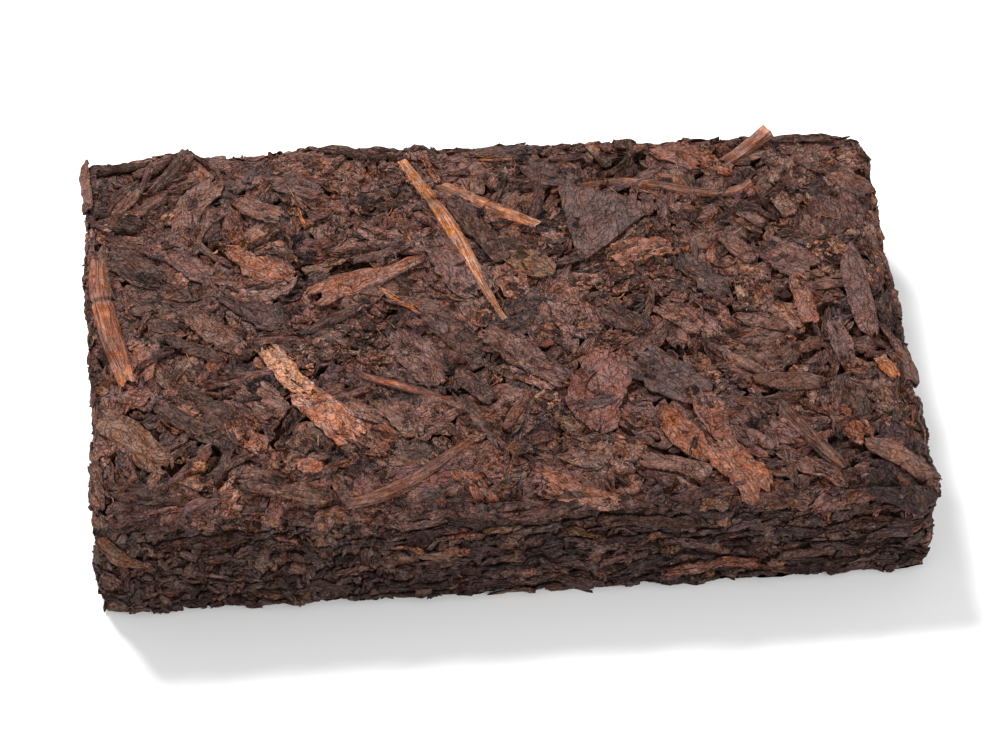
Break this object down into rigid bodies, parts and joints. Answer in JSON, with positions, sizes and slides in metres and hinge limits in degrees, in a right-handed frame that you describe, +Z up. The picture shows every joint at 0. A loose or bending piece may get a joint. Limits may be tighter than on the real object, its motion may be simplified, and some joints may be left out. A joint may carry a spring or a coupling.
{
  "type": "pressed pu erh tea brick",
  "caption": "Rectangular brick of pressed dark tea leaves with stems and rolled leaves bedded in its top, free-standing on a flat base.",
  "frame": {"origin": "under the middle of the brick, on the surface that it rests on", "axes": "+X along the length to the thinner end, +Y to the back edge, +Z up out of the pressed face"},
  "size_m": [0.15, 0.098, 0.0274],
  "materials": {
    "pressed_leaf": "matte, crumpled dark brown dried leaf",
    "stem_bark": "matte orange-brown dried stem",
    "rolled_leaf": "matte to satin, ridged dark red-brown dried leaf"
  },
  "bodies": {
    "root": {"pressed_block": "pressed_leaf", "edge_stem": "stem_bark", "long_stem": "stem_bark", "split_stem": "stem_bark", "branch_stub": "stem_bark", "curved_twig": "stem_bark", "red_twig": "stem_bark", "front_rolled_leaf": "rolled_leaf", "right_rolled_leaf": "rolled_leaf"}
  },
  "joints": []
}
